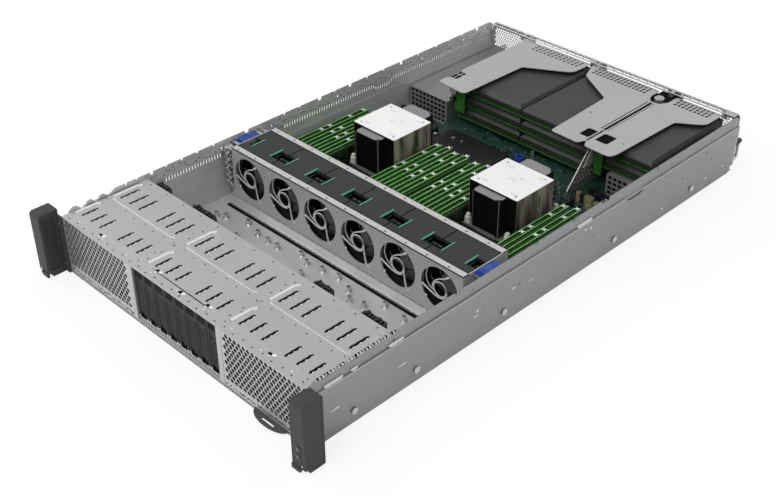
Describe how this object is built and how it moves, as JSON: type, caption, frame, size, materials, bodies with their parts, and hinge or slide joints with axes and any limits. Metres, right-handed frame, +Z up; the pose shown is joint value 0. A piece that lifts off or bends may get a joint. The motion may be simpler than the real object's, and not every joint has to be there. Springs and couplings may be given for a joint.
{
  "type": "rack server",
  "caption": "2U rack server with its cover off: front drives, hot-swap fans, processors and memory, risers and power supplies",
  "frame": {"origin": "middle of the overall box on its underside", "axes": "X across the front to the right, Y from the front to the rear, Z up"},
  "size_m": [0.4826, 0.82, 0.087],
  "materials": {
    "zinc_steel": "satin",
    "cage_steel": "satin",
    "vent_steel": "satin",
    "ear_plastic": "matte",
    "button_plastic": "satin",
    "tab_plastic": "satin",
    "bezel_plastic": "satin",
    "lever_plastic": "satin",
    "circuit_board": "satin",
    "fan_plastic": "satin",
    "rotor_plastic": "satin",
    "blue_plastic": "satin",
    "aluminium_fins": "satin",
    "socket_plastic": "satin",
    "module_board": "satin",
    "psu_steel": "satin",
    "riser_steel": "satin",
    "card_cover": "matte",
    "screw_steel": "polished"
  },
  "bodies": {
    "chassis": {"chassis_base": "zinc_steel", "rear_panel": "zinc_steel", "studs": "screw_steel", "rack_ear_left": "ear_plastic", "rack_ear_right": "ear_plastic", "drive_cage": "cage_steel", "cage_top_plate": "cage_steel", "vent_panels": "vent_steel", "drive_backplane": "circuit_board", "motherboard": "circuit_board", "processor_sockets": "socket_plastic", "heatsink_left": "aluminium_fins", "heatsink_right": "aluminium_fins", "memory_sockets": "socket_plastic", "memory_modules": "module_board"},
    "power_button": {"power_button": "button_plastic"},
    "id_button": {"id_button": "button_plastic"},
    "info_tab": {"info_tab": "tab_plastic"},
    "drive_1": {"drive_1": "bezel_plastic"},
    "drive_lever_1": {"drive_lever_1": "lever_plastic"},
    "drive_2": {"drive_2": "bezel_plastic"},
    "drive_lever_2": {"drive_lever_2": "lever_plastic"},
    "drive_3": {"drive_3": "bezel_plastic"},
    "drive_lever_3": {"drive_lever_3": "lever_plastic"},
    "drive_4": {"drive_4": "bezel_plastic"},
    "drive_lever_4": {"drive_lever_4": "lever_plastic"},
    "drive_5": {"drive_5": "bezel_plastic"},
    "drive_lever_5": {"drive_lever_5": "lever_plastic"},
    "drive_6": {"drive_6": "bezel_plastic"},
    "drive_lever_6": {"drive_lever_6": "lever_plastic"},
    "drive_7": {"drive_7": "bezel_plastic"},
    "drive_lever_7": {"drive_lever_7": "lever_plastic"},
    "drive_8": {"drive_8": "bezel_plastic"},
    "drive_lever_8": {"drive_lever_8": "lever_plastic"},
    "fan_cage": {"fan_cage": "cage_steel"},
    "fan_module_1": {"fan_module_1": "fan_plastic"},
    "fan_rotor_1": {"fan_rotor_1": "rotor_plastic"},
    "fan_module_2": {"fan_module_2": "fan_plastic"},
    "fan_rotor_2": {"fan_rotor_2": "rotor_plastic"},
    "fan_module_3": {"fan_module_3": "fan_plastic"},
    "fan_rotor_3": {"fan_rotor_3": "rotor_plastic"},
    "fan_module_4": {"fan_module_4": "fan_plastic"},
    "fan_rotor_4": {"fan_rotor_4": "rotor_plastic"},
    "fan_module_5": {"fan_module_5": "fan_plastic"},
    "fan_rotor_5": {"fan_rotor_5": "rotor_plastic"},
    "fan_module_6": {"fan_module_6": "fan_plastic"},
    "fan_rotor_6": {"fan_rotor_6": "rotor_plastic"},
    "fan_latch_left": {"fan_latch_left": "blue_plastic"},
    "fan_latch_right": {"fan_latch_right": "blue_plastic"},
    "memory_latches_front": {"memory_latches_front": "socket_plastic"},
    "memory_latches_rear": {"memory_latches_rear": "socket_plastic"},
    "psu_left": {"psu_left": "psu_steel"},
    "psu_latch_left": {"psu_latch_left": "blue_plastic"},
    "psu_right": {"psu_right": "psu_steel"},
    "psu_latch_right": {"psu_latch_right": "blue_plastic"},
    "riser_left": {"riser_left": "riser_steel", "cards_left": "card_cover"},
    "riser_right": {"riser_right": "riser_steel", "cards_right": "card_cover"},
    "riser_thumbscrew": {"riser_thumbscrew": "screw_steel"}
  },
  "joints": [
    {"name": "power_button_press", "type": "slide", "parent": "chassis", "child": "power_button", "axis": [0, 1, 0], "range_m": [0, 0.001], "stiffness_N_per_m": 300},
    {"name": "id_button_press", "type": "slide", "parent": "chassis", "child": "id_button", "axis": [0, 1, 0], "range_m": [0, 0.001], "stiffness_N_per_m": 300},
    {"name": "info_tab_slide", "type": "slide", "parent": "chassis", "child": "info_tab", "axis": [0, -1, 0], "range_m": [0, 0.05]},
    {"name": "drive_slide_1", "type": "slide", "parent": "chassis", "child": "drive_1", "axis": [0, -1, 0], "range_m": [0, 0.11]},
    {"name": "drive_lever_hinge_1", "type": "hinge", "parent": "drive_1", "child": "drive_lever_1", "pos_m": [-0.06563, -0.3752, 0.0104], "axis": [1, 0, 0], "range_deg": [0, 60]},
    {"name": "drive_slide_2", "type": "slide", "parent": "chassis", "child": "drive_2", "axis": [0, -1, 0], "range_m": [0, 0.11]},
    {"name": "drive_lever_hinge_2", "type": "hinge", "parent": "drive_2", "child": "drive_lever_2", "pos_m": [-0.04688, -0.3752, 0.0104], "axis": [1, 0, 0], "range_deg": [0, 60]},
    {"name": "drive_slide_3", "type": "slide", "parent": "chassis", "child": "drive_3", "axis": [0, -1, 0], "range_m": [0, 0.11]},
    {"name": "drive_lever_hinge_3", "type": "hinge", "parent": "drive_3", "child": "drive_lever_3", "pos_m": [-0.02813, -0.3752, 0.0104], "axis": [1, 0, 0], "range_deg": [0, 60]},
    {"name": "drive_slide_4", "type": "slide", "parent": "chassis", "child": "drive_4", "axis": [0, -1, 0], "range_m": [0, 0.11]},
    {"name": "drive_lever_hinge_4", "type": "hinge", "parent": "drive_4", "child": "drive_lever_4", "pos_m": [-0.00937, -0.3752, 0.0104], "axis": [1, 0, 0], "range_deg": [0, 60]},
    {"name": "drive_slide_5", "type": "slide", "parent": "chassis", "child": "drive_5", "axis": [0, -1, 0], "range_m": [0, 0.11]},
    {"name": "drive_lever_hinge_5", "type": "hinge", "parent": "drive_5", "child": "drive_lever_5", "pos_m": [0.00937, -0.3752, 0.0104], "axis": [1, 0, 0], "range_deg": [0, 60]},
    {"name": "drive_slide_6", "type": "slide", "parent": "chassis", "child": "drive_6", "axis": [0, -1, 0], "range_m": [0, 0.11]},
    {"name": "drive_lever_hinge_6", "type": "hinge", "parent": "drive_6", "child": "drive_lever_6", "pos_m": [0.02813, -0.3752, 0.0104], "axis": [1, 0, 0], "range_deg": [0, 60]},
    {"name": "drive_slide_7", "type": "slide", "parent": "chassis", "child": "drive_7", "axis": [0, -1, 0], "range_m": [0, 0.11]},
    {"name": "drive_lever_hinge_7", "type": "hinge", "parent": "drive_7", "child": "drive_lever_7", "pos_m": [0.04688, -0.3752, 0.0104], "axis": [1, 0, 0], "range_deg": [0, 60]},
    {"name": "drive_slide_8", "type": "slide", "parent": "chassis", "child": "drive_8", "axis": [0, -1, 0], "range_m": [0, 0.11]},
    {"name": "drive_lever_hinge_8", "type": "hinge", "parent": "drive_8", "child": "drive_lever_8", "pos_m": [0.06563, -0.3752, 0.0104], "axis": [1, 0, 0], "range_deg": [0, 60]},
    {"name": "fan_cage_lift", "type": "slide", "parent": "chassis", "child": "fan_cage", "axis": [0, 0, 1], "range_m": [0, 0.09]},
    {"name": "fan_module_lift_1", "type": "slide", "parent": "fan_cage", "child": "fan_module_1", "axis": [0, 0, 1], "range_m": [0, 0.08]},
    {"name": "fan_spin_1", "type": "hinge", "parent": "fan_module_1", "child": "fan_rotor_1", "pos_m": [-0.16625, -0.1066, 0.046], "axis": [0, 1, 0], "continuous": true},
    {"name": "fan_module_lift_2", "type": "slide", "parent": "fan_cage", "child": "fan_module_2", "axis": [0, 0, 1], "range_m": [0, 0.08]},
    {"name": "fan_spin_2", "type": "hinge", "parent": "fan_module_2", "child": "fan_rotor_2", "pos_m": [-0.09975, -0.1066, 0.046], "axis": [0, 1, 0], "continuous": true},
    {"name": "fan_module_lift_3", "type": "slide", "parent": "fan_cage", "child": "fan_module_3", "axis": [0, 0, 1], "range_m": [0, 0.08]},
    {"name": "fan_spin_3", "type": "hinge", "parent": "fan_module_3", "child": "fan_rotor_3", "pos_m": [-0.03325, -0.1066, 0.046], "axis": [0, 1, 0], "continuous": true},
    {"name": "fan_module_lift_4", "type": "slide", "parent": "fan_cage", "child": "fan_module_4", "axis": [0, 0, 1], "range_m": [0, 0.08]},
    {"name": "fan_spin_4", "type": "hinge", "parent": "fan_module_4", "child": "fan_rotor_4", "pos_m": [0.03325, -0.1066, 0.046], "axis": [0, 1, 0], "continuous": true},
    {"name": "fan_module_lift_5", "type": "slide", "parent": "fan_cage", "child": "fan_module_5", "axis": [0, 0, 1], "range_m": [0, 0.08]},
    {"name": "fan_spin_5", "type": "hinge", "parent": "fan_module_5", "child": "fan_rotor_5", "pos_m": [0.09975, -0.1066, 0.046], "axis": [0, 1, 0], "continuous": true},
    {"name": "fan_module_lift_6", "type": "slide", "parent": "fan_cage", "child": "fan_module_6", "axis": [0, 0, 1], "range_m": [0, 0.08]},
    {"name": "fan_spin_6", "type": "hinge", "parent": "fan_module_6", "child": "fan_rotor_6", "pos_m": [0.16625, -0.1066, 0.046], "axis": [0, 1, 0], "continuous": true},
    {"name": "fan_latch_left_hinge", "type": "hinge", "parent": "fan_cage", "child": "fan_latch_left", "pos_m": [-0.2021, -0.1072, 0.0804], "axis": [0, 1, 0], "range_deg": [0, 80]},
    {"name": "fan_latch_right_hinge", "type": "hinge", "parent": "fan_cage", "child": "fan_latch_right", "pos_m": [0.2021, -0.1072, 0.0804], "axis": [0, -1, 0], "range_deg": [0, 80]},
    {"name": "memory_latches_front_hinge", "type": "hinge", "parent": "chassis", "child": "memory_latches_front", "pos_m": [0, -0.0385, 0.0116], "axis": [1, 0, 0], "range_deg": [0, 30]},
    {"name": "memory_latches_rear_hinge", "type": "hinge", "parent": "chassis", "child": "memory_latches_rear", "pos_m": [0, 0.10785, 0.0116], "axis": [-1, 0, 0], "range_deg": [0, 30]},
    {"name": "psu_left_slide", "type": "slide", "parent": "chassis", "child": "psu_left", "axis": [0, 1, 0], "range_m": [0, 0.18]},
    {"name": "psu_latch_left_press", "type": "slide", "parent": "psu_left", "child": "psu_latch_left", "axis": [1, 0, 0], "range_m": [0, 0.003], "stiffness_N_per_m": 400},
    {"name": "psu_right_slide", "type": "slide", "parent": "chassis", "child": "psu_right", "axis": [0, 1, 0], "range_m": [0, 0.18]},
    {"name": "psu_latch_right_press", "type": "slide", "parent": "psu_right", "child": "psu_latch_right", "axis": [1, 0, 0], "range_m": [0, 0.003], "stiffness_N_per_m": 400},
    {"name": "riser_left_lift", "type": "slide", "parent": "chassis", "child": "riser_left", "axis": [0, 0, 1], "range_m": [0, 0.1]},
    {"name": "riser_right_lift", "type": "slide", "parent": "chassis", "child": "riser_right", "axis": [0, 0, 1], "range_m": [0, 0.1]},
    {"name": "riser_thumbscrew_turn", "type": "hinge", "parent": "riser_right", "child": "riser_thumbscrew", "pos_m": [0.112, 0.352, 0.0812], "axis": [0, 0, 1], "continuous": true}
  ]
}
